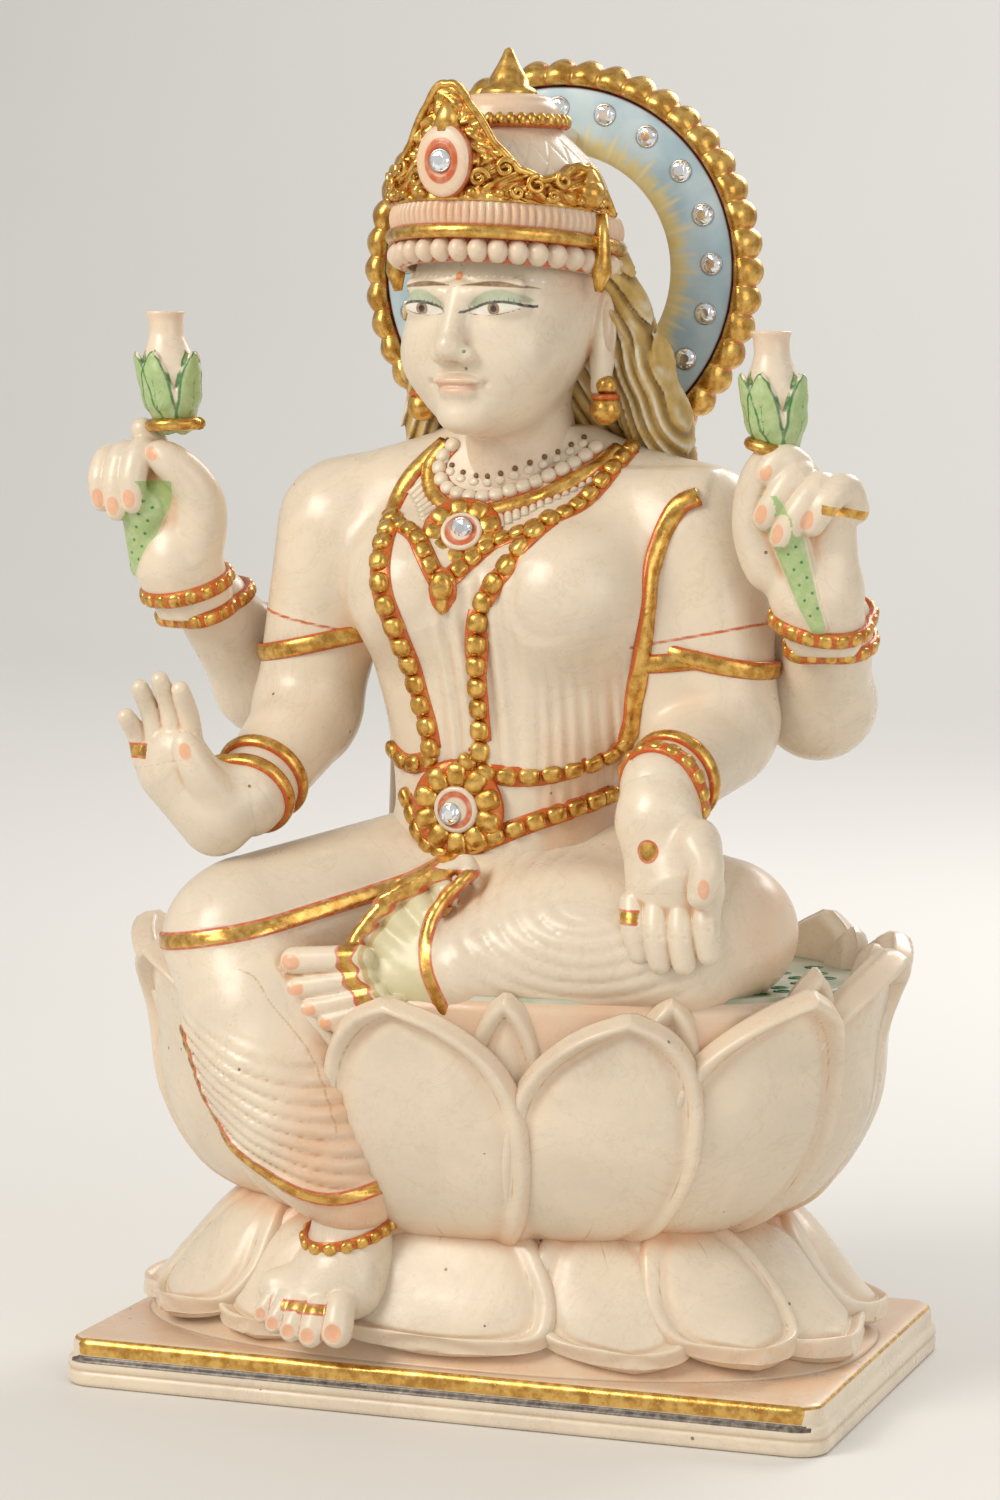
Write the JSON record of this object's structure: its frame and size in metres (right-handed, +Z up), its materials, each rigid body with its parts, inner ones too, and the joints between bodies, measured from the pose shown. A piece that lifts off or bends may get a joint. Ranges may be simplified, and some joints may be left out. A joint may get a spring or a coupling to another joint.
{
  "type": "hindu deity statue",
  "caption": "Four-armed deity seated on a double lotus over a low plinth, crowned, with a ring halo behind the head and a lotus bud in each rear hand.",
  "frame": {"origin": "middle of the plinth's underside", "axes": "+Z up; the figure looks along -Y; +X is the figure's left side"},
  "size_m": [0.2268, 0.143, 0.38],
  "materials": {
    "marble": "polished pale marble with ochre washes in the creases",
    "gilt": "marble under glossy gold paint with red outlines",
    "halo_blue": "marble under pale blue paint, yellow at the inner edge",
    "hair_ochre": "marble under a thin ochre wash",
    "leaf_green": "marble with green painted sepals",
    "pod_wash": "marble under a thin green wash",
    "rhinestone": "clear faceted glass over foil"
  },
  "bodies": {
    "root": {"anklet": "gilt", "armlets": "gilt", "back_drape": "marble", "bangles": "gilt", "belt_clasp": "gilt", "crown_band": "marble", "crown_cap": "marble", "crown_crest": "gilt", "crown_finial": "gilt", "crown_medallion": "marble", "earrings": "gilt", "foot_left": "marble", "foot_right": "marble", "forearm_left": "marble", "forearm_right": "marble", "garland": "gilt", "hair": "hair_ochre", "halo_rim": "gilt", "halo_ring": "halo_blue", "halo_stones": "rhinestone", "hand_left": "marble", "hand_right": "marble", "head": "marble", "jewel_stones": "rhinestone", "lap_drape": "marble", "leg_left_shin": "marble", "leg_left_thigh": "marble", "leg_right_shin": "marble", "leg_right_thigh": "marble", "lotus_bowl": "marble", "lotus_bud_left": "leaf_green", "lotus_bud_right": "leaf_green", "lotus_foot": "marble", "lower_petals_back": "marble", "lower_petals_front": "marble", "lower_petals_left": "marble", "lower_petals_right": "marble", "neck": "marble", "necklace": "gilt", "plinth": "marble", "rear_arm_left": "marble", "rear_arm_right": "marble", "rear_hand_left": "marble", "rear_hand_right": "marble", "sash": "marble", "seed_pod": "pod_wash", "topknot_band": "gilt", "torso": "marble", "upper_arm_left": "marble", "upper_arm_right": "marble", "upper_petal_corner_left": "marble", "upper_petal_corner_right": "marble", "upper_petal_front": "marble", "upper_petal_front_left": "marble", "upper_petal_front_right": "marble", "upper_petals_back": "marble", "upper_petals_side_left": "marble", "upper_petals_side_right": "marble", "waist_belt": "gilt"}
  },
  "joints": []
}
